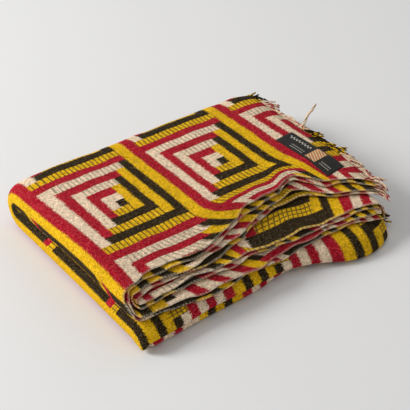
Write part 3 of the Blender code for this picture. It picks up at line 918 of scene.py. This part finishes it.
class RUG_OT_label(bpy.types.Operator):
    """Make the woven label"""
    bl_idname = "rug.label"
    bl_label = "Label"

    def execute(self, context):
        settings = context.scene.rug_label_settings
        cloth = bpy.data.objects["cloth"]
        ground = BVHTree.FromPolygons([v.co for v in cloth.data.vertices],
                                      [f.vertices for f in cloth.data.polygons])
        cos, sin = math.cos(LABEL_TURN), math.sin(LABEL_TURN)
        wide, long = 12, 36
        grid = np.zeros((wide + 1, long + 1, 3))
        for i in range(wide + 1):
            for j in range(long + 1):
                p, q = (i / wide - 0.5) * settings.width, (j / long - 0.5) * settings.length
                over = Vector((LABEL_AT[0] + p * cos - q * sin + SHIFT.x,
                               LABEL_AT[1] + p * sin + q * cos + SHIFT.y, 1.0))
                grid[i, j] = ground.ray_cast(over, Vector((0, 0, -1)))[0]
        grid -= np.array(SHIFT)
        lift, thick = 0.00025, settings.thickness
        across = np.linspace(0, 1, wide + 1)
        along = 1 - np.linspace(0, 1, long + 1)
        edge = np.minimum.outer(np.minimum(across, 1 - across) * settings.width,
                                np.minimum(along, 1 - along) * settings.length)
        swell = thick * (1 - 0.35 * np.exp(-(edge / 0.0012)))
        top, under = grid.copy(), grid.copy()
        top[:, :, 2] += lift + swell
        under[:, :, 2] += lift
        rings = np.concatenate([top, under[:, ::-1]], axis=1)
        a = np.repeat(across[:, None], 2 * (long + 1), axis=1)
        b = np.repeat(np.concatenate([along, along[::-1]])[None, :], wide + 1, axis=0)
        thing = piece_from_rings("ribbon_label", rings, {"across": a, "along": b})
        finished(thing, label_material(settings), "label_ribbon", "label")
        return {"FINISHED"}


class RUG_OT_stage(bpy.types.Operator):
    """Make the floor, the lights and the camera"""
    bl_idname = "rug.stage"
    bl_label = "Studio Stage"

    def execute(self, context):
        settings = context.scene.rug_stage_settings
        look, shader, _ = new_material("studio_paper", 0.9)
        shader.inputs["Base Color"].default_value = colour(settings.floor)
        bpy.ops.mesh.primitive_plane_add(size=14.0, location=(0.0, 0.0, 0.0))
        floor = context.object
        floor.name = "studio_floor"
        floor.data.materials.append(look)
        for name, power, size, place in (
                ("key_light", settings.key, 1.6, (-2.45, 1.85, 1.9)),
                ("fill_light", settings.key * 0.045, 2.0, (1.9, 1.3, 1.8))):
            lamp = bpy.data.lights.new(name, "AREA")
            lamp.energy = power
            lamp.shape = "DISK"
            lamp.size = size
            thing = bpy.data.objects.new(name, lamp)
            thing.location = place
            thing.rotation_euler = (-Vector(place)).to_track_quat("-Z", "Y").to_euler()
            context.scene.collection.objects.link(thing)
        world = bpy.data.worlds.new("studio_light")
        world.use_nodes = True
        ground = world.node_tree.nodes["Background"]
        ground.inputs["Color"].default_value = (1.0, 1.0, 1.0, 1.0)
        ground.inputs["Strength"].default_value = settings.sky
        context.scene.world = world
        context.scene.view_settings.view_transform = "Standard"
        cp, sp = math.cos(CAMERA_PITCH), math.sin(CAMERA_PITCH)
        ahead = Vector((math.sin(CAMERA_YAW) * cp, math.cos(CAMERA_YAW) * cp, -sp))
        data = bpy.data.cameras.new("photo_camera")
        data.lens = CAMERA_LENS
        camera = bpy.data.objects.new("photo_camera", data)
        camera.location = Vector(CAMERA_TARGET) + SHIFT - ahead * CAMERA_FAR
        camera.rotation_euler = ahead.to_track_quat("-Z", "Y").to_euler()
        context.scene.collection.objects.link(camera)
        context.scene.camera = camera
        return {"FINISHED"}


class RUG_PT_panel(bpy.types.Panel):
    """Lists the pieces of the rug"""
    bl_idname = "RUG_PT_panel"
    bl_label = "Folded Travel Rug"
    bl_space_type = "VIEW_3D"
    bl_region_type = "UI"
    bl_category = "Rug"

    def draw(self, context):
        for operator in OPERATORS:
            self.layout.operator(operator.bl_idname)
        for holder in SETTINGS:
            box = self.layout.box()
            group = getattr(context.scene, holder)
            for key in group.__annotations__:
                box.prop(group, key)


OPERATORS = (RUG_OT_groups, RUG_OT_stage, RUG_OT_cloth, RUG_OT_fringes, RUG_OT_label)
SETTINGS = {
    "rug_cloth_settings": RugClothSettings,
    "rug_fringe_settings": RugFringeSettings,
    "rug_label_settings": RugLabelSettings,
    "rug_stage_settings": RugStageSettings,
}


def register():
    """Registers the add-on's classes and its settings."""
    for thing in (*SETTINGS.values(), *OPERATORS, RUG_PT_panel):
        bpy.utils.register_class(thing)
    for holder, kind in SETTINGS.items():
        setattr(bpy.types.Scene, holder, PointerProperty(type=kind))


def unregister():
    """Takes the classes and settings back out."""
    for holder in SETTINGS:
        delattr(bpy.types.Scene, holder)
    for thing in (RUG_PT_panel, *reversed(OPERATORS), *reversed(SETTINGS.values())):
        bpy.utils.unregister_class(thing)


def main():
    """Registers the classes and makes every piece."""
    register()
    for operator in OPERATORS:
        group, _, name = operator.bl_idname.partition(".")
        getattr(getattr(bpy.ops, group), name)()


if __name__ == "__main__":
    main()
